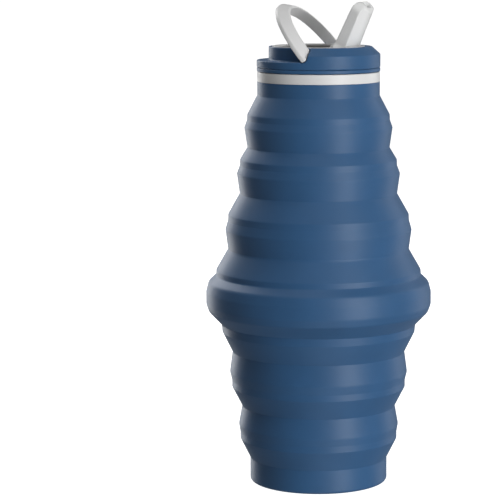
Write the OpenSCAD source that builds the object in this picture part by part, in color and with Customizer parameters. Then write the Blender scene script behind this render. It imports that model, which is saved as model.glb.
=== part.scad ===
// Folding silicone water bottle with a screw-in lid, a carry handle and a flip-up spout.
// Frame: +Z up, origin at the centre of the base on the table, handle towards -X, spout leans to +X.
// The silicone wall is a stack of stiff ridged rings joined by thin folding cones.

/* [Bottle] */
// Wall thickness of the stiff rings, mm
wall_t = 1.5; // [1.2:0.1:2.5]
// Wall thickness of the folding cones, mm
web_t = 1.0; // [0.6:0.1:1.5]
// Radius of the base cup, mm
base_r = 31.3; // [28:0.1:34]
// Height of the base cup, mm
base_h = 10.9; // [8:0.1:14]
// Floor thickness of the base cup above the foot, mm
floor_t = 2.8; // [2:0.1:4]
// Largest radius, at the belt, mm
belt_r = 51.1; // [48:0.1:54]
// Radius of the neck sleeve, mm
neck_r = 27.6; // [26:0.1:29]

/* [Lid] */
// Outer radius of the lid, mm
lid_r = 27.8; // [26:0.1:30]
// Height of the top of the lid above the table, mm
lid_top_z = 198.65; // [195:0.05:202]
// Height of the joint line between lid flange and lid shell, mm
lid_part_z = 189.1; // [188:0.1:190]
// Radius of the upper tier that the folded handle wraps, mm
tier_r = 22.4; // [21.8:0.1:23]
// Height of the ledge that the folded handle rests over, mm
ledge_z = 192.5; // [191:0.1:193]
// Outer radius of the inner liner, mm
liner_r = 21.0; // [20:0.1:21]
// Inner radius of the recess, mm
recess_r = 19.5; // [18:0.1:20]

/* [Thread] */
// Lead of the two-start lid thread, mm per turn
thread_lead = 8; // [6:0.5:10]
// Segments per turn of the thread ridges
thread_seg = 36; // [24:12:72]

/* [Handle] */
// Angle of the handle above its folded position, degrees
handle_angle = 51; // [0:1:56]
// Underside of the folded handle band above the table, mm
band_z0 = 193.4; // [193:0.1:194]
// Upper side of the folded handle band above the table, mm
band_z1 = 198.6; // [197:0.1:199]
// Height of the handle pivot above the table, mm
handle_z = 194.9; // [194:0.1:196]
// Distance of the handle pivot from the bottle axis, towards the spout, mm
handle_x = 0.85; // [0:0.05:2]
// Radius of the round handle ends about the pivot, mm
knuckle_r = 2.3; // [2:0.1:3]
// Inner radius of the handle band, mm
handle_ri = 22.9; // [22.8:0.1:23.5]

/* [Spout] */
// Angle of the spout above level, degrees
spout_angle = 66; // [30:0.5:75]
// Distance from hub centre to spout tip, mm
spout_len = 25.7; // [22:0.1:26.5]
// Width of the spout paddle at the hub, mm
spout_w = 21.6; // [18:0.1:21.8]
// Width of the spout paddle at the tip, mm
spout_tip_w = 20.6; // [16:0.1:21]
// Radius of the crowned drinking face of the spout, mm
crown_r = 24; // [18:1:40]
// Distance of the hub centre from the bottle axis, mm
hub_x = 12.3; // [11:0.1:12.4]
// Height of the hub centre above the table, mm
hub_z = 195.0; // [194.8:0.1:195.4]
// Radius of the hub drum, mm
drum_r = 6.2; // [5.6:0.1:6.3]
// Width of the hub drum, mm
drum_w = 13.6; // [12:0.1:15]

/* [Hidden] */
$fn = 96;
blue = [0.21, 0.33, 0.46];
deep_blue = [0.18, 0.29, 0.42];
pale = [0.80, 0.80, 0.80];
grey = [0.42, 0.41, 0.40];
spout_white = [0.88, 0.88, 0.88];
clear_seal = [0.75, 0.77, 0.78];
// Outer profile of each stiff ring as [radius, height], bottom to top
prof_l2 = [[35.8, 19.9], [35.85, 22.7], [36.3, 25.0], [36.45, 26.5], [36.25, 28.2], [34.9, 35.0]];
prof_l1 = [[39.5, 43.9], [39.55, 46.8], [40.2, 49.3], [40.45, 50.8], [40.3, 52.5], [39.2, 60.05]];
prof_belt = [[43.8, 69.3], [44.2, 72.9], [49.9, 78.8], [50.8, 80.8], [belt_r, 82.2], [belt_r, 87.7],
  [50.8, 89.2], [50.0, 92.0], [46.55, 95.4], [46.4, 97.6]];
prof_u3 = [[41.0, 107.0], [42.0, 114.4], [42.2, 116.0], [41.95, 117.4], [41.0, 120.1], [40.9, 122.9]];
prof_u2 = [[35.6, 132.3], [36.6, 139.8], [36.85, 141.4], [36.6, 142.8], [35.5, 145.0], [35.4, 147.7]];
prof_u1 = [[32.1, 153.15], [33.15, 160.6], [33.4, 162.2], [33.15, 163.4], [32.2, 165.5], [32.1, 168.0]];
neck_z0 = 176.6;
neck_z1 = 182.85;
rim_z = 187.25;
plug_z = rim_z + 0.25;
skirt_z = 177.5;
liner_z0 = 187.0;
liner_z1 = 197.8;
thread_hi = 178.7;
bevel_z = 195.2;
paddle_back = 4.0;
paddle_front = 4.2;
channel_r = 1.8;
pin_r = 1.5;
pin_y = 12.3;
seat_r = drum_r + 0.4;
ear_y = 12.45;
ear_t = 2.8;
port_r = 1.6;
vent_x = -12;
vent_r = 1.3;

// Closed loop from an outer profile and the same profile moved in by t
function shell_loop(p, t) = concat(p, [for (i = [len(p) - 1 : -1 : 0]) [p[i][0] - t, p[i][1]]]);

// A stiff ring of the silicone wall
module ring_body(p, t) {
  rotate_extrude() polygon(shell_loop(p, t));
}

// A thin folding cone between two rings, given its lower and upper outer corners
module web_body(a, b) {
  rotate_extrude() polygon([a, b, [b[0] - web_t, b[1]], [a[0] - web_t, a[1]]]);
}

// One helical ridge: root radius rr, crest radius rc, first height z0, turns, start angle a0
module ridge(rr, rc, z0, turns, a0) {
  n = round(thread_seg * turns);
  s = rc > rr ? 1 : -1;
  function h(i) = min(1, min(i, n - i) / 4);
  function c(i) = rr + (rc - rr) * (0.12 + 0.88 * h(i));
  function pt(r, a, z) = [r * cos(a), r * sin(a), z];
  pts = [for (i = [0 : n]) let(a = a0 + 360 * turns * i / n, z = z0 + thread_lead * turns * i / n)
    each [pt(rr - s * 0.4, a, z - 1.0), pt(c(i), a, z - 0.45),
      pt(c(i), a, z + 0.45), pt(rr - s * 0.4, a, z + 1.0)]];
  quads = [for (i = [0 : n - 1], k = [0 : 3]) let(j = (k + 1) % 4)
    [4 * i + k, 4 * i + j, 4 * i + 4 + j, 4 * i + 4 + k]];
  tris = [for (q = quads)
    each (s > 0 ? [[q[0], q[1], q[2]], [q[0], q[2], q[3]]] : [[q[2], q[1], q[0]], [q[3], q[2], q[0]]])];
  e0 = s > 0 ? [[3, 2, 1], [3, 1, 0]] : [[1, 2, 3], [0, 1, 3]];
  m = 4 * n;
  e1 = s > 0 ? [[m, m + 1, m + 2], [m, m + 2, m + 3]] : [[m + 2, m + 1, m], [m + 3, m + 2, m]];
  polyhedron(points = pts, faces = concat(e0, e1, tris));
}

// Moves a child to the hub of the spout, standing upright, then leans it
module at_hub(lean) {
  translate([hub_x, 0, hub_z]) rotate([0, lean, 0]) children();
}

// Cylinder along Y, centred
module ycyl(r, len) {
  rotate([90, 0, 0]) cylinder(r = r, h = len, center = true);
}

module base_cup() {
  color(blue) rotate_extrude() polygon([[0, 0.8], [26.4, 0.8], [27.2, 0], [30.1, 0], [30.9, 0.35],
    [31.25, 1.2], [base_r, base_h], [base_r - wall_t, base_h], [base_r - wall_t, 4.4],
    [28.2, floor_t], [0, floor_t]]);
}

module web_base_l2() {
  color(blue) web_body([base_r, base_h], prof_l2[0]);
}

module ring_l2() {
  color(blue) ring_body(prof_l2, wall_t);
}

module web_l2_l1() {
  color(blue) web_body(prof_l2[5], prof_l1[0]);
}

module ring_l1() {
  color(blue) ring_body(prof_l1, wall_t);
}

module web_l1_belt() {
  color(blue) web_body(prof_l1[5], prof_belt[0]);
}

module belt_band() {
  color(blue) rotate_extrude() polygon(concat(prof_belt, [[44.9, 97.6], [44.9, 95.0], [48.3, 91.4],
    [49.1, 87.4], [49.1, 82.4], [48.2, 79.4], [42.6, 73.6], [42.3, 69.3]]));
}

module web_belt_u3() {
  color(blue) web_body(prof_belt[9], prof_u3[0]);
}

module ring_u3() {
  color(blue) ring_body(prof_u3, wall_t);
}

module web_u3_u2() {
  color(blue) web_body(prof_u3[5], prof_u2[0]);
}

module ring_u2() {
  color(blue) ring_body(prof_u2, wall_t);
}

module web_u2_u1() {
  color(blue) web_body(prof_u2[5], prof_u1[0]);
}

module ring_u1() {
  color(blue) ring_body(prof_u1, wall_t);
}

module web_u1_neck() {
  color(blue) web_body(prof_u1[5], [neck_r, neck_z0]);
}

module neck_sleeve() {
  color(blue) rotate_extrude() polygon([[neck_r, neck_z0], [neck_r, neck_z1],
    [26.05, neck_z1], [26.05, neck_z0]]);
}

// Rigid collar: spigot inside the sleeve, visible ring above it, seat for the gasket, two thread ridges
module collar() {
  color(pale) union() {
    rotate_extrude() polygon([[24.6, 176.8], [26.05, 176.8], [26.05, neck_z1], [27.55, neck_z1],
      [neck_r, neck_z1 + 0.2],
      [neck_r, rim_z - 0.2], [27.4, rim_z], [26.9, rim_z], [26.9, rim_z - 1], [24.6, rim_z - 1]]);
    ridge(24.6, 23.6, 178.2, 0.72, 0);
    ridge(24.6, 23.6, 178.2, 0.72, 180);
  }
}

module lid_gasket() {
  color(clear_seal) rotate_extrude() polygon([[24.9, rim_z - 0.7], [26.6, rim_z - 0.7],
    [26.6, rim_z - 0.05], [24.9, rim_z - 0.05]]);
}

// Threaded plug: flange, skirt with two thread ridges, floor with drink port and vent hole
module lid_plug() {
  color(deep_blue) difference() {
    union() {
      rotate_extrude() polygon([[0, 185.4], [21.5, 185.4], [21.5, skirt_z], [22.9, skirt_z],
        [23.2, skirt_z + 0.3],
        [23.2, plug_z], [27.6, plug_z], [27.75, plug_z + 0.15], [27.75, lid_part_z - 0.25],
        [27.45, lid_part_z], [21.1, lid_part_z], [21.1, 187.0], [0, 187.0]]);
      ridge(23.2, 24.2, thread_hi, 0.72, 90);
      ridge(23.2, 24.2, thread_hi, 0.72, 270);
    }
    translate([hub_x, 0, 184]) cylinder(r = port_r, h = 5);
    translate([vent_x, 0, 184]) cylinder(r = vent_r, h = 5);
  }
}

// Space for the handle ends: round about the pivot, and clear of the band's corner up to 56 degrees
module handle_pocket() {
  translate([handle_x, 0, handle_z]) for (side = [-1, 1]) translate([0, side * 26, 0]) union() {
    ycyl(knuckle_r + 0.35, 12);
    rotate([90, 0, 0]) linear_extrude(height = 12, center = true)
      polygon([[-1, 0], [2.5, 0], [2.95, 2.1], [3.0, 2.9], [2.35, 3.9], [2.35, 9], [-1, 9]]);
  }
}

// Outer lid shell: full height towards the spout, stepped down towards the handle
module lid_shell() {
  color(blue) difference() {
    rotate_extrude() polygon([[21.05, lid_part_z], [27.45, lid_part_z], [lid_r, lid_part_z + 0.35],
      [lid_r, bevel_z], [23.95, lid_top_z], [21.3, lid_top_z], [21.05, lid_top_z - 0.25]]);
    difference() {
      union() {
        translate([-40, -40, ledge_z]) cube([40, 80, 20]);
        handle_pocket();
      }
      translate([0, 0, 180]) cylinder(r = tier_r, h = 30);
    }
    translate([handle_x, 0, handle_z]) for (s = [-1, 1]) translate([0, s * 22.5, 0]) ycyl(1.25, 3.6);
  }
}

// Two ears that carry the hub pins
module ears() {
  for (side = [-1, 1]) translate([hub_x - 0.4, side * ear_y, 190]) cube([9.6, ear_t, 15.6], center = true);
}

// Light trim ring round the mouth of the recess
module recess_rim() {
  color(pale) rotate_extrude() polygon([[recess_r - 0.1, liner_z1 + 0.05],
    [liner_r - 0.05, liner_z1 + 0.05], [liner_r - 0.05, lid_top_z - 0.05], [liner_r - 0.3, lid_top_z + 0.2],
    [recess_r + 0.15, lid_top_z + 0.2], [recess_r - 0.1, lid_top_z - 0.05]]);
}

// Inner liner: deep recess towards the handle, raised shelf and ears round the hub, curved seat, ports
module lid_liner() {
  color(grey) difference() {
    translate([0, 0, liner_z0]) cylinder(r = liner_r, h = liner_z1 - liner_z0);
    difference() {
      intersection() {
        translate([0, 0, 190.0]) cylinder(r = recess_r, h = 20);
        translate([-40, -40, 190.0]) cube([40 + hub_x - 0.5, 80, 20]);
      }
      ears();
    }
    difference() {
      translate([0, 0, 193.5]) cylinder(r = recess_r, h = 20);
      ears();
    }
    translate([hub_x, 0, hub_z]) ycyl(seat_r, drum_w + 0.8);
    translate([hub_x, 0, hub_z]) ycyl(4.5, 2 * (ear_y - ear_t / 2) + 0.4);
    translate([hub_x, 0, hub_z]) ycyl(pin_r + 0.05, 2 * pin_y + 0.4);
    translate([hub_x, 0, 187.6]) cylinder(r = 3.25, h = 6);
    translate([hub_x, 0, 186]) cylinder(r = port_r, h = 6);
    translate([vent_x, 0, 186]) cylinder(r = vent_r, h = 6);
  }
}

module spout_seal() {
  color(clear_seal) difference() {
    translate([hub_x, 0, 187.6]) cylinder(r = 3.2, h = 3);
    translate([hub_x, 0, hub_z]) ycyl(seat_r - 0.05, 20);
    translate([hub_x, 0, 186]) cylinder(r = port_r, h = 6);
  }
}

module vent_valve() {
  color(clear_seal) translate([vent_x, 0, 0]) rotate_extrude() polygon([[0, 184.6], [1.9, 184.6],
    [1.25, 185.35], [1.25, 190.02], [3.2, 190.02], [3.0, 190.4], [0, 190.8]]);
}

// Points of an arc about c
function arc(c, r, a0, a1, n = 6) =
  [for (i = [0 : n]) let(a = a0 + (a1 - a0) * i / n) c + r * [cos(a), sin(a)]];

// Paddle outline seen from its drinking face, and its outline seen from the side
function face_outline(c) = concat([[-spout_w / 2, 0], [spout_w / 2, 0]],
  arc([spout_tip_w / 2 - c, spout_len - c], c, 0, 90),
  arc([c - spout_tip_w / 2, spout_len - c], c, 90, 180));
function side_outline(f, b) = concat([[-paddle_back, 0], [paddle_front + 0.5, 0]],
  arc([paddle_front - 0.7 - f, spout_len - f], f, 0, 90, 9),
  arc([0.6 - paddle_back + b, spout_len - b], b, 90, 180, 9));

// Spout, built standing upright with its crowned drinking face towards +X, then leaned over
module spout() {
  color(spout_white) at_hub(90 - spout_angle) difference() {
    union() {
      intersection() {
        rotate([90, 0, 90]) linear_extrude(height = 14, center = true) polygon(face_outline(4.5));
        rotate([90, 0, 0]) linear_extrude(height = 30, center = true) polygon(side_outline(3.8, 2.9));
        translate([paddle_front - crown_r, 0, 0]) rotate([0, -1.8, 0])
          cylinder(r = crown_r, h = 80, center = true);
      }
      intersection() {
        ycyl(drum_r, drum_w);
        translate([-20, -20, -20]) cube([22.5, 40, 40]);
      }
      ycyl(pin_r, 2 * pin_y);
    }
    linear_extrude(height = 40) union() {
      square([2 * channel_r, 2 * channel_r], center = true);
      for (side = [-1, 1]) translate([0, side * channel_r]) circle(r = channel_r);
    }
    rotate([0, spout_angle - 90, 0]) translate([0, 0, -8]) cylinder(r = 1.5, h = 8);
  }
}

// Handle band in its folded position about its pivot, with round ends and inward studs
module handle_folded() {
  zb = band_z0 - handle_z;
  zt = band_z1 - handle_z;
  sec = [[handle_ri, zb], [27.6, zb], [27.8, zb + 0.2], [27.8, bevel_z - handle_z], [23.94, zt],
    [handle_ri, zt]];
  translate([-handle_x, 0, 0]) rotate([0, 0, 90]) rotate_extrude(angle = 180) polygon(sec);
  intersection() {
    for (s = [-1, 1]) translate([0, s * 25.5, 0]) union() {
      ycyl(knuckle_r, 6);
      rotate([90, 0, 0]) linear_extrude(height = 6, center = true)
        polygon([[-handle_x, zb], [0.4, zb], [0.94, 2.1], [-0.35, 3.4], [-0.7, zt], [-handle_x, zt]]);
    }
    translate([-handle_x, 0, 0]) union() {
      rotate([90, 0, 90]) linear_extrude(height = 6) polygon(sec);
      mirror([0, 1, 0]) rotate([90, 0, 90]) linear_extrude(height = 6) polygon(sec);
    }
  }
  for (s = [-1, 1]) translate([0, s * 22.45, 0]) ycyl(1.2, 2.1);
}

module handle() {
  color(pale) translate([handle_x, 0, handle_z]) rotate([0, handle_angle, 0]) handle_folded();
}

base_cup();
web_base_l2();
ring_l2();
web_l2_l1();
ring_l1();
web_l1_belt();
belt_band();
web_belt_u3();
ring_u3();
web_u3_u2();
ring_u2();
web_u2_u1();
ring_u1();
web_u1_neck();
neck_sleeve();
collar();
lid_gasket();
lid_plug();
lid_shell();
lid_liner();
recess_rim();
spout_seal();
vent_valve();
spout();
handle();
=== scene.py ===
"""Folding water bottle.

A silicone wall of ridged rings and folding cones, with a screw-in lid, a carry handle and a spout.
"""

import math

import bmesh
import bpy
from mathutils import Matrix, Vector


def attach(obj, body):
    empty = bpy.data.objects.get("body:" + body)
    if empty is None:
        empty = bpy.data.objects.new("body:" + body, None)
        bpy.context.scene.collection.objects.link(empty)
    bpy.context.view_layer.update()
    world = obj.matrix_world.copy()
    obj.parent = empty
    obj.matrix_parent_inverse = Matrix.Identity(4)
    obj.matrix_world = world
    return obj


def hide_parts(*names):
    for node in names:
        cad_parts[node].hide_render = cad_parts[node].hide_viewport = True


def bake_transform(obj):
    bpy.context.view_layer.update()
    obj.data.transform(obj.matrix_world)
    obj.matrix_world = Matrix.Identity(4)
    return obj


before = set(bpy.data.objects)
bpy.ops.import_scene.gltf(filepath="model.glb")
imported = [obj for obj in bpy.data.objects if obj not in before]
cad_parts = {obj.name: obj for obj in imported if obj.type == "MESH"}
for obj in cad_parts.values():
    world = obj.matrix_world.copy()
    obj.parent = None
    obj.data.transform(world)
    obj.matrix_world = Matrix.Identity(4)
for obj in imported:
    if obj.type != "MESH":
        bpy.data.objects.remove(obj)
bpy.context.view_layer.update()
scene = bpy.context.scene

MM = 0.001
SEGMENTS = 192  # round every turned shape
TINY = 1e-6  # mm


# ---------------------------------------------------------------- materials
BLUE_SHEEN = (0.75, 0.85, 1, 1)


def new_material(name, base, rough, spec, sheen=0.0, sheen_tint=(1, 1, 1, 1)):
    mat = bpy.data.materials.new(name)
    mat.use_nodes = True
    nt = mat.node_tree
    bsdf = nt.nodes["Principled BSDF"]
    bsdf.inputs["Base Color"].default_value = (*base, 1)
    bsdf.inputs["Roughness"].default_value = rough
    bsdf.inputs["Specular IOR Level"].default_value = spec
    bsdf.inputs["Sheen Weight"].default_value = sheen
    bsdf.inputs["Sheen Roughness"].default_value = 0.5
    bsdf.inputs["Sheen Tint"].default_value = sheen_tint
    return mat, nt, bsdf


def add_variation(nt, bsdf, base, spread, scale):
    """Slow, faint tone changes over the surface, as moulded parts have."""
    coord = nt.nodes.new("ShaderNodeTexCoord")
    noise = nt.nodes.new("ShaderNodeTexNoise")
    noise.inputs["Scale"].default_value = scale
    noise.inputs["Detail"].default_value = 3.0
    ramp = nt.nodes.new("ShaderNodeValToRGB")
    dark, light = ramp.color_ramp.elements
    dark.position = 0.3
    dark.color = (*[c * (1 - spread) for c in base], 1)
    light.position = 0.7
    light.color = (*[c * (1 + spread) for c in base], 1)
    nt.links.new(coord.outputs["Object"], noise.inputs["Vector"])
    nt.links.new(noise.outputs["Fac"], ramp.inputs["Fac"])
    nt.links.new(ramp.outputs["Color"], bsdf.inputs["Base Color"])
    return coord


def add_grain(nt, bsdf, coord, scale, strength, distance, rough):
    """Fine moulded grain as bump, and as roughness between the two values of rough."""
    noise = nt.nodes.new("ShaderNodeTexNoise")
    noise.inputs["Scale"].default_value = scale
    noise.inputs["Detail"].default_value = 2.0
    bump = nt.nodes.new("ShaderNodeBump")
    bump.inputs["Strength"].default_value = strength
    bump.inputs["Distance"].default_value = distance
    nt.links.new(coord.outputs["Object"], noise.inputs["Vector"])
    nt.links.new(noise.outputs["Fac"], bump.inputs["Height"])
    nt.links.new(bump.outputs["Normal"], bsdf.inputs["Normal"])
    span = nt.nodes.new("ShaderNodeMapRange")
    span.inputs["To Min"].default_value, span.inputs["To Max"].default_value = rough
    nt.links.new(noise.outputs["Fac"], span.inputs["Value"])
    nt.links.new(span.outputs["Result"], bsdf.inputs["Roughness"])


def silicone_material():
    base = (0.026, 0.096, 0.222)
    mat, nt, bsdf = new_material(
        "silicone_blue", base, 0.45, spec=0.42, sheen=0.08, sheen_tint=BLUE_SHEEN
    )
    coord = add_variation(nt, bsdf, base, 0.05, 60)
    add_grain(nt, bsdf, coord, 2600, 0.25, 0.00004, (0.41, 0.51))
    return mat


def lid_material():
    base = (0.026, 0.096, 0.220)
    mat, nt, bsdf = new_material(
        "lid_blue", base, 0.45, spec=0.4, sheen=0.08, sheen_tint=BLUE_SHEEN
    )
    coord = add_variation(nt, bsdf, base, 0.04, 80)
    add_grain(nt, bsdf, coord, 3200, 0.2, 0.00003, (0.42, 0.52))
    return mat


def pale_material(name, base, rough):
    mat, nt, bsdf = new_material(name, base, rough[0], spec=0.45)
    coord = add_variation(nt, bsdf, base, 0.025, 90)
    add_grain(nt, bsdf, coord, 3000, 0.2, 0.00003, rough)
    return mat


def seal_material():
    base = (0.50, 0.52, 0.53)
    mat, nt, bsdf = new_material("seal_silicone", base, 0.35, spec=0.5)
    bsdf.inputs["Subsurface Weight"].default_value = 0.2
    bsdf.inputs["Subsurface Scale"].default_value = 0.002
    coord = add_variation(nt, bsdf, base, 0.03, 120)
    add_grain(nt, bsdf, coord, 2500, 0.1, 0.00002, (0.3, 0.4))
    return mat


SILICONE = silicone_material()
LID = lid_material()
PALE = pale_material("pale_plastic", (0.74, 0.74, 0.74), (0.36, 0.48))
SPOUT = pale_material("spout_white", (0.80, 0.805, 0.80), (0.30, 0.40))
# the liner's grey, made darker than the rim so that the lid's recess looks shaded: partly its own
# colour, partly painted shade
LINER_WITH_PAINTED_SHADE = pale_material("liner_grey", (0.25, 0.242, 0.233), (0.40, 0.50))
SEAL = seal_material()


# ---------------------------------------------------------------- turned shapes
STEP_ANGLE = 0.09  # radians of arc between two points of a rounded corner
MOST_STEPS = 12
LEG_SHARE = 0.48  # of a straight side, that a corner's arc may take up
STRAIGHT = 0.01  # radians short of a straight line, where no arc is made


def rounded(points):
    """Points (radius, height, corner radius) in mm, as a line with arcs at its corners."""
    out = []
    for i, (r, z, f) in enumerate(points):
        p = Vector((r, z))
        if i in (0, len(points) - 1) or f <= 0:
            out.append(p)
            continue
        a = Vector(points[i - 1][:2]) - p
        b = Vector(points[i + 1][:2]) - p
        la, lb = a.length, b.length
        a.normalize()
        b.normalize()
        angle = a.angle(b)
        if angle > math.pi - STRAIGHT:
            out.append(p)
            continue
        t = min(f / math.tan(angle / 2), LEG_SHARE * la, LEG_SHARE * lb)
        rad = t * math.tan(angle / 2)
        centre = p + (a + b).normalized() * (rad / math.sin(angle / 2))
        s, e = p + a * t - centre, p + b * t - centre
        turn = s.angle_signed(e)
        n = max(2, min(MOST_STEPS, int(abs(turn) / STEP_ANGLE) + 1))
        for k in range(n + 1):
            c, d = math.cos(-turn * k / n), math.sin(-turn * k / n)
            out.append(centre + Vector((s.x * c - s.y * d, s.x * d + s.y * c)))
    return out


def cut_profile(profile, z0, z1, n_mid=0):
    """The stretch of a profile between two heights.

    It keeps the points between them, or has n_mid evenly spaced ones instead.
    """

    def at(z):
        for p, q in zip(profile, profile[1:]):
            if p.y <= z <= q.y and q.y > p.y:
                return p.lerp(q, (z - p.y) / (q.y - p.y))
        return None

    if n_mid:
        between = [at(z0 + (z1 - z0) * (k + 1) / (n_mid + 1)) for k in range(n_mid)]
    else:
        between = [p.copy() for p in profile if z0 + TINY < p.y < z1 - TINY]
    return [at(z0)] + between + [at(z1)]


def turned(name, loop):
    """A solid of revolution from a closed loop of (radius, height) in mm.

    A point on the axis becomes one vertex.
    """
    verts, rings = [], []
    for p in loop:
        if p[0] < TINY:
            verts.append((0, 0, p[1] * MM))
            rings.append([len(verts) - 1] * SEGMENTS)
        else:
            start = len(verts)
            for k in range(SEGMENTS):
                a = 2 * math.pi * k / SEGMENTS
                verts.append((p[0] * MM * math.cos(a), p[0] * MM * math.sin(a), p[1] * MM))
            rings.append(list(range(start, start + SEGMENTS)))
    faces = []
    for i, a in enumerate(rings):
        b = rings[(i + 1) % len(rings)]
        if a[0] == a[-1] and b[0] == b[-1]:
            continue
        for k in range(SEGMENTS):
            m = (k + 1) % SEGMENTS
            quad = [a[k], a[m], b[m], b[k]]
            face = []
            for v in quad:
                if v not in face:
                    face.append(v)
            if len(face) > 2:
                faces.append(face)
    return mesh_object(name, verts, faces)


SHARP = math.radians(40)  # an edge that turns by more than this is shaded sharp


def mesh_object(name, verts, faces):
    me = bpy.data.meshes.new(name)
    me.from_pydata(verts, [], faces)
    bm = bmesh.new()
    bm.from_mesh(me)
    bmesh.ops.recalc_face_normals(bm, faces=bm.faces)
    bm.to_mesh(me)
    bm.free()
    me.shade_smooth()
    me.set_sharp_from_angle(angle=SHARP)
    ob = bpy.data.objects.new(name, me)
    scene.collection.objects.link(ob)
    return ob


def dress(ob, mat):
    ob.data.materials.clear()
    ob.data.materials.append(mat)
    return ob


# ---------------------------------------------------------------- silicone wall
NECK_TOP = 182.85
CUP_R = 31.3

# (radius, height, corner radius) of the outside, from the table up, in mm
WALL = [
    (CUP_R, 0.0, 1.6), (CUP_R, 10.9, 0.7), (35.8, 19.9, 0.7), (35.8, 22.8, 1.8),
    (36.45, 26.4, 3.0), (34.9, 35.0, 0.4), (39.5, 43.9, 0.7), (39.5, 46.8, 1.8),
    (40.45, 50.75, 3.0), (39.2, 60.05, 0.4), (43.8, 69.3, 0.7), (44.2, 72.9, 0.7),
    (49.9, 78.8, 3.0), (51.1, 82.1, 4.0), (51.1, 87.8, 4.0), (50.0, 92.0, 3.5),
    (46.55, 95.3, 1.2), (46.4, 97.6, 1.2), (41.0, 107.0, 0.4), (42.2, 116.0, 1.2),
    (41.0, 120.1, 1.2), (40.9, 122.9, 1.2), (35.6, 132.3, 0.4), (36.85, 141.4, 1.2),
    (35.5, 145.0, 1.2), (35.4, 147.7, 1.2), (32.1, 153.15, 0.4), (33.4, 162.2, 1.2),
    (32.2, 165.5, 1.2), (32.1, 168.0, 1.2), (27.6, 176.6, 0.7), (27.6, NECK_TOP, 0),
]
FOOT = [(0, 0.8, 0), (26.3, 0.8, 0.4), (27.2, 0.0, 0.4)]
FOOT_HEIGHT = 3
PROFILE = rounded(FOOT + WALL)
side_start = max(i for i, p in enumerate(PROFILE) if p.y < FOOT_HEIGHT) - 1
SIDE = PROFILE[side_start:]

THICK = 1.15
BELT_EXTRA = 0.7  # more thickness where the belt bulges, from BELT_FROM over BELT_RAMP
BELT_FROM, BELT_RAMP = 45, 3
FLOOR_TOP = 2.8
CONE_POINTS = 14  # evenly spaced points between a cone's seams

# Each folding cone: lower seam, upper seam, CAD cone, body below, body above. Most seams
# lie 0.9 mm inside the cone, and two are moved so that folded rings don't meet.
CONES = [
    (11.8, 19.0, "web_base_l2", "base", "ring_low"),
    (35.9, 43.0, "web_l2_l1", "ring_low", "ring_mid"),
    (60.25, 68.4, "web_l1_belt", "ring_mid", "belt"),
    (98.5, 107.3, "web_belt_u3", "belt", "ring_up_3"),
    (123.8, 131.4, "web_u3_u2", "ring_up_3", "ring_up_2"),
    (148.6, 152.25, "web_u2_u1", "ring_up_2", "ring_up_1"),
    (168.9, 175.7, "web_u1_neck", "ring_up_1", "neck"),
]
# the stiff ring above each cone, and its body
BANDS = [
    ("ring_l2", "ring_low"),
    ("ring_l1", "ring_mid"),
    ("belt_band", "belt"),
    ("ring_u3", "ring_up_3"),
    ("ring_u2", "ring_up_2"),
    ("ring_u1", "ring_up_1"),
    ("neck_sleeve", "neck"),
]


def inward(points):
    """The inside of a wall whose outside is points."""
    return [Vector((p.x - THICK, p.y)) for p in points]


def belt_inside(points):
    inner = []
    for p in points:
        bulge = min(1, max(0, (p.x - BELT_FROM) / BELT_RAMP))
        inner.append(Vector((p.x - THICK - BELT_EXTRA * bulge, p.y)))
    return inner


# base cup: foot ring, wall up to the first seam, inside floor
seam = CONES[0][0]
cup_side = cut_profile(SIDE, SIDE[0].y, seam)
cup_inside = rounded([
    (cup_side[-1].x - THICK, seam, 0),
    (CUP_R - 1.5, 10.6, 0.5),
    (29.8, FLOOR_TOP, 3.0),
    (0, FLOOR_TOP, 0),
])
base_visual = turned("silicone_base_cup", PROFILE[:side_start] + cup_side + cup_inside)
dress(base_visual, SILICONE)
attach(base_visual, "base")
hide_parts("base_cup")

for i, (node, body) in enumerate(BANDS):
    z0 = CONES[i][1]
    z1 = CONES[i + 1][0] if i + 1 < len(CONES) else NECK_TOP
    outer = cut_profile(SIDE, z0, z1)
    if node == "neck_sleeve":
        sleeve_r, sleeve_inner_r, sleeve_top = 27.6, 26.1, 182.8
        outer[-1] = Vector((sleeve_r, sleeve_top))
        inner = [
            Vector((outer[0].x - THICK, z0)),
            Vector((sleeve_inner_r, 176.7)),
            Vector((sleeve_inner_r, sleeve_top)),
        ]
    elif node == "belt_band":
        inner = belt_inside(outer)
    else:
        inner = inward(outer)
    ob = turned("silicone_" + node, outer + inner[::-1])
    dress(ob, SILICONE)
    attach(ob, body)
    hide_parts(node)

for z0, z1, node, low, high in CONES:
    outer = cut_profile(SIDE, z0, z1, n_mid=CONE_POINTS)
    ob = turned("silicone_" + node, outer + inward(outer)[::-1])
    dress(ob, SILICONE)
    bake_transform(ob)
    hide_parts(node)


# ---------------------------------------------------------------- lid, handle and spout
WELD_WITHIN = 0.000004  # m
BEVEL_SEGMENTS = 3
BEVEL_FROM = math.radians(28)  # an edge that turns by less than this keeps its shape


def soften(node, mat, width):
    """A CAD part shown as it is, with its edges rounded by a bevel of width in mm."""
    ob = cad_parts[node]
    ob.data.materials.clear()
    ob.data.materials.append(mat)
    weld = ob.modifiers.new("weld", "WELD")
    weld.merge_threshold = WELD_WITHIN
    if width:
        bev = ob.modifiers.new("edges", "BEVEL")
        bev.width = width * MM
        bev.segments = BEVEL_SEGMENTS
        bev.limit_method = "ANGLE"
        bev.angle_limit = BEVEL_FROM
        bev.harden_normals = False
        bev.use_clamp_overlap = True


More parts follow.
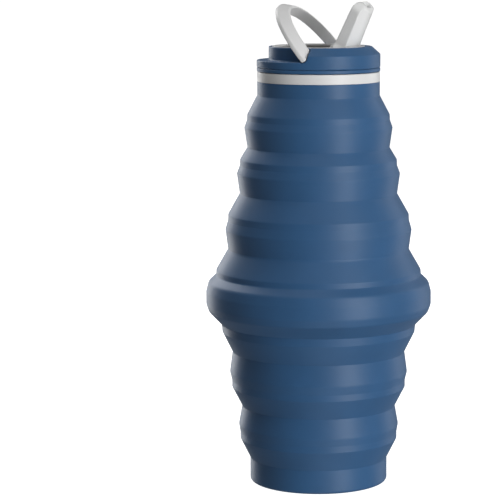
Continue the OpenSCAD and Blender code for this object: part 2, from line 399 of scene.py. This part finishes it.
def moulded(node, name, body, mat, voxel, passes):
    """A new piece with the shape of a CAD part and the soft edges that a moulded part has.

    It is remeshed at voxel mm, and smoothed passes times.
    """
    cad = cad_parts[node]
    ob = bpy.data.objects.new(name, cad.data.copy())
    ob.matrix_world = cad.matrix_world
    scene.collection.objects.link(ob)
    remesh = ob.modifiers.new("even", "REMESH")
    remesh.mode = "VOXEL"
    remesh.voxel_size = voxel * MM
    smooth = ob.modifiers.new("soft_edges", "SMOOTH")
    smooth.factor = 0.6
    smooth.iterations = passes
    bpy.context.view_layer.update()
    baked = ob.evaluated_get(bpy.context.evaluated_depsgraph_get())
    ob.data = bpy.data.meshes.new_from_object(baked)
    ob.modifiers.clear()
    ob.data.shade_smooth()
    dress(ob, mat)
    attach(ob, body)
    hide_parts(node)
    return ob


def ease(x, low, high):
    """Smooth 0 to 1 as x goes from low to high."""
    t = max(0.0, min(1.0, (x - low) / (high - low)))
    return t * t * (3 - 2 * t)


def draft_spout(ob):
    """Draws the paddle's sides in towards its back and slopes its tip to the drinking face."""
    hub = Vector((12.3, 0, 195.0)) * MM
    lean = math.radians(66)
    along = Vector((math.cos(lean), 0, math.sin(lean)))  # from the hub to the tip
    across = Vector((math.sin(lean), 0, -math.cos(lean)))  # from the back to the face
    front, thick, tip = 3.9, 7.9, 25.7  # mm, with front and tip measured from the hub
    most_draft, slope, back, corner_drop = 0.14, 0.2, 3.6, 0.7
    for v in ob.data.vertices:
        q = (v.co - hub) / MM
        s, n = q.dot(along), q.dot(across)
        draft = most_draft * ease(s, 1.5, 5) * max(0.0, min(1.0, (front - n) / thick))
        sloped = slope * (n + back) * ease(s, tip - 9, tip)
        drop = sloped + corner_drop * ease(abs(q.y), 5, 10) * ease(s, tip - 8, tip - 1)
        q = q - along * drop
        q.y *= 1 - draft
        v.co = hub + q * MM


soften("collar", PALE, 0.15)
soften("lid_gasket", SEAL, 0.1)
soften("lid_plug", LID, 0.12)
soften("lid_liner", LINER_WITH_PAINTED_SHADE, 0.25)
soften("recess_rim", PALE, 0.2)
soften("spout_seal", SEAL, 0)
soften("vent_valve", SEAL, 0.1)
spout = moulded("spout", "spout_moulded", "spout", SPOUT, voxel=0.28, passes=7)
draft_spout(spout)
moulded("lid_shell", "lid_shell_moulded", "lid", LID, voxel=0.25, passes=10)
moulded("handle", "handle_moulded", "handle", PALE, voxel=0.25, passes=5)


# ---------------------------------------------------------------- floor, light, camera
def stage_material():
    mat = bpy.data.materials.new("studio_floor")
    mat.use_nodes = True
    nt = mat.node_tree
    bsdf = nt.nodes["Principled BSDF"]
    bsdf.inputs["Base Color"].default_value = (0.5, 0.5, 0.5, 1)
    bsdf.inputs["Roughness"].default_value = 0.9
    bsdf.inputs["Specular IOR Level"].default_value = 0.1
    bsdf.inputs["Emission Color"].default_value = (1, 1, 1, 1)
    bsdf.inputs["Emission Strength"].default_value = 1.0
    return mat


def backdrop(ob, name):
    """Dresses a plain stage that the camera sees and that casts no light on the bottle."""
    ob.name = name
    ob.data.materials.append(STAGE)
    ob.visible_diffuse = False
    ob.visible_glossy = False
    ob.visible_shadow = False


STAGE = stage_material()
STAGE_R = 20  # m
bpy.ops.mesh.primitive_circle_add(
    vertices=96, radius=STAGE_R, fill_type="NGON", location=(0, 0, 0)
)
backdrop(bpy.context.object, "studio_floor")
bpy.ops.mesh.primitive_uv_sphere_add(
    segments=48, ring_count=24, radius=STAGE_R, location=(0, 0, 0)
)
backdrop(bpy.context.object, "studio_backdrop")

world = bpy.data.worlds.new("studio_white")
scene.world = world
world.use_nodes = True
background = world.node_tree.nodes["Background"]
background.inputs["Color"].default_value = (1, 1, 1, 1)
background.inputs["Strength"].default_value = 0.18

VIEW_TURN = math.radians(17.6)  # of the camera round the bottle
VIEW_DOWN = math.radians(7.916)
FORWARD = Vector((-math.sin(VIEW_TURN), math.cos(VIEW_TURN), 0))
RIGHT = Vector((math.cos(VIEW_TURN), math.sin(VIEW_TURN), 0))
UP = Vector((0, 0, 1))
LIT_POINT = Vector((0, 0, 0.1))


def softbox(name, turn, distance, up, width, height, power):
    """An area light that faces the bottle, with its size in metres and its power in watts.

    It is turn degrees to the right of the camera, at a distance and a height in metres.
    """
    data = bpy.data.lights.new(name, "AREA")
    data.shape = "RECTANGLE"
    data.size = width
    data.size_y = height
    data.energy = power
    ob = bpy.data.objects.new(name, data)
    side = math.radians(turn)
    ob.location = (RIGHT * math.sin(side) - FORWARD * math.cos(side)) * distance + UP * up
    aim = LIT_POINT - ob.location
    ob.rotation_euler = aim.to_track_quat("-Z", "Y").to_euler()
    scene.collection.objects.link(ob)


softbox("key_right_front", 40, 1.25, 0.28, 0.45, 1.6, 14)
softbox("side_right_back", 125, 1.3, 0.25, 0.5, 1.4, 3)
softbox("rim_left_back", -147, 1.3, 0.3, 0.45, 1.4, 7.2)
softbox("high_left_back", -138, 0.95, 1.05, 0.7, 0.6, 5)
softbox("overhead", -10, 0.35, 1.3, 0.8, 0.8, 2.0)
softbox("floor_bounce", 25, 0.7, -0.7, 0.9, 0.9, 1.8)

SENSOR = 36  # mm
cam_data = bpy.data.cameras.new("camera")
cam_data.sensor_width = SENSOR
cam_data.lens = 4.472 * SENSOR
cam_data.shift_x = -0.137
cam_data.clip_start = 0.01
cam = bpy.data.objects.new("camera", cam_data)
scene.collection.objects.link(cam)
cam.location = -FORWARD * 1.0062 + UP * 0.24611
look = FORWARD * math.cos(VIEW_DOWN) - UP * math.sin(VIEW_DOWN)
cam.rotation_euler = look.to_track_quat("-Z", "Y").to_euler()
scene.camera = cam
scene.view_settings.view_transform = "Standard"
scene.view_settings.look = "None"
scene.view_settings.exposure = 0.0
